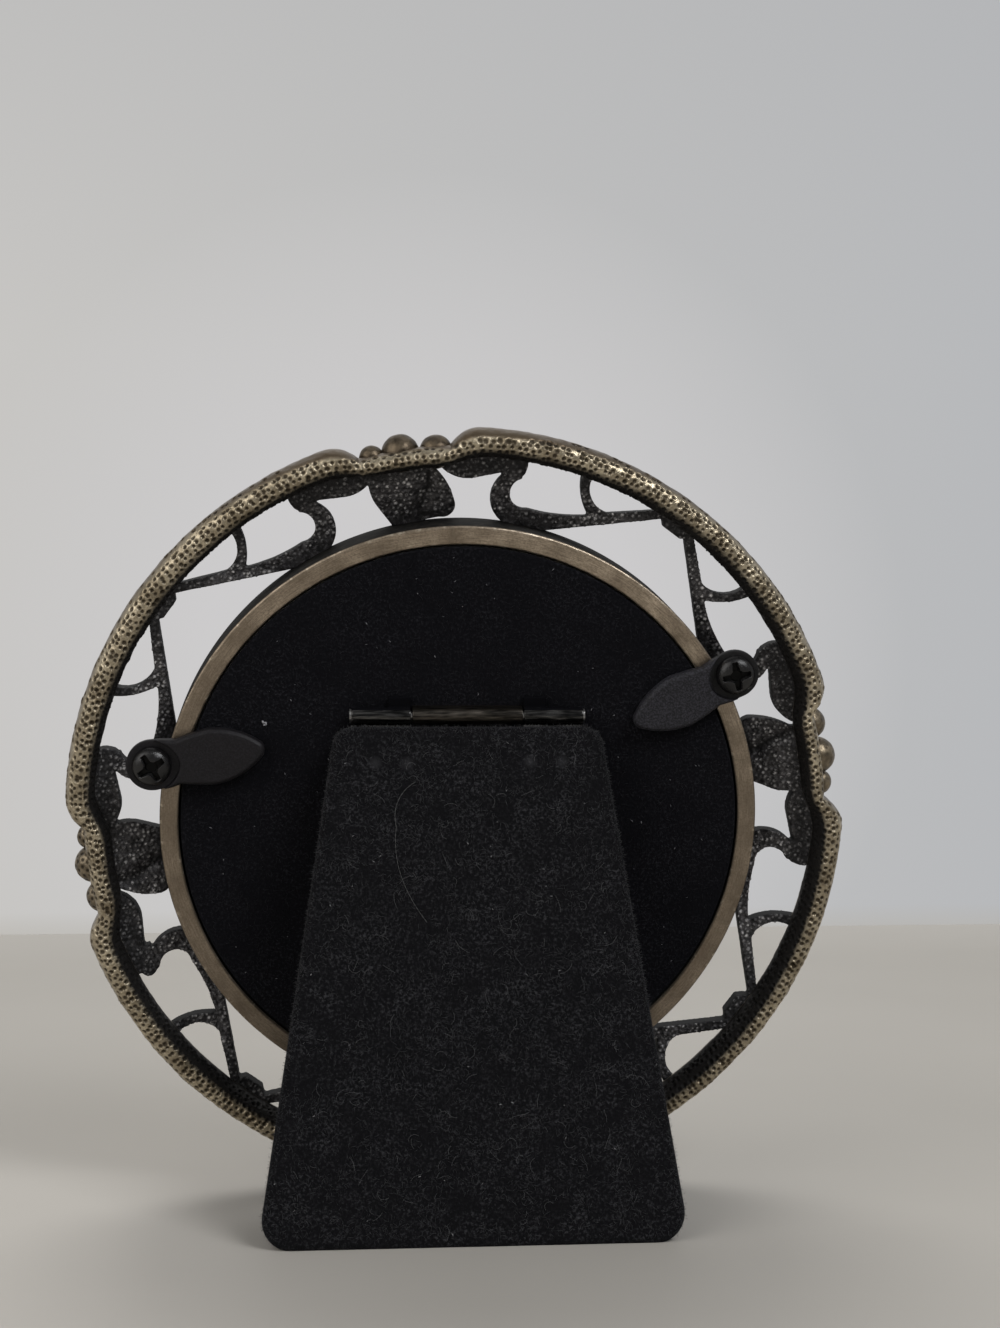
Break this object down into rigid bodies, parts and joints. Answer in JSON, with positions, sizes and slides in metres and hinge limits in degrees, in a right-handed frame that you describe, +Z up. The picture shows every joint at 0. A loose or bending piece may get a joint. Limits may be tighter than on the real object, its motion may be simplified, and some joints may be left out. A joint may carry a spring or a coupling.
{
  "type": "round photo frame",
  "caption": "Round openwork photo frame in dark cast brass with a beaded rim, scroll band, velvet back held by turn-buttons, and a hinged folding leg.",
  "frame": {"origin": "on the table, under the centre of the bounding box of the standing frame with its leg open", "axes": "+Z up, +Y the way the picture faces, +X to the right as seen from the back"},
  "size_m": [0.1068, 0.0384, 0.1048],
  "materials": {
    "antique_brass": "cast brass, darkened, rubbed bright on the rim and ring",
    "clear_glass": "polished clear picture glass",
    "picture_card": "smooth matte card",
    "grey_board": "raw grey board",
    "lining_paper": "black lining paper, matte",
    "panel_velvet": "black short-pile velvet",
    "leg_cover": "charcoal short-pile velvet",
    "dark_steel": "blackened steel, worn bright on edges",
    "button_black": "black fine-textured enamel",
    "screw_black": "glossy black finish"
  },
  "bodies": {
    "frame": {"cast_frame": "antique_brass", "glazing": "clear_glass", "photo_insert": "picture_card", "filler_card": "grey_board", "turn_screw_left": "screw_black", "turn_screw_right": "screw_black"},
    "back_panel": {"back_lining": "lining_paper", "back_board": "grey_board", "back_velvet": "panel_velvet", "hinge_panel_leaf": "dark_steel", "panel_rivets": "dark_steel"},
    "leg": {"hinge_pin": "dark_steel", "hinge_leg_leaf": "dark_steel", "leg_rivets": "dark_steel", "leg_lining": "lining_paper", "leg_board": "grey_board", "leg_velvet": "leg_cover"},
    "button_left": {"turn_button_left": "button_black"},
    "button_right": {"turn_button_right": "button_black"}
  },
  "joints": [
    {"name": "panel_turn", "type": "hinge", "parent": "frame", "child": "back_panel", "pos_m": [0, 0.00191, 0.05178], "axis": [0, -0.9799, -0.1994], "range_deg": [-30, 30]},
    {"name": "leg_fold", "type": "hinge", "parent": "back_panel", "child": "leg", "pos_m": [0.0006, -0.00249, 0.06639], "axis": [1, 0, 0], "range_deg": [0, 24]},
    {"name": "button_left_turn", "type": "hinge", "parent": "frame", "child": "button_left", "pos_m": [-0.04135, 0.00024, 0.06002], "axis": [0, -0.9799, -0.1994], "continuous": true},
    {"name": "button_right_turn", "type": "hinge", "parent": "frame", "child": "button_right", "pos_m": [0.03673, -0.00223, 0.07214], "axis": [0, -0.9799, -0.1994], "continuous": true}
  ]
}
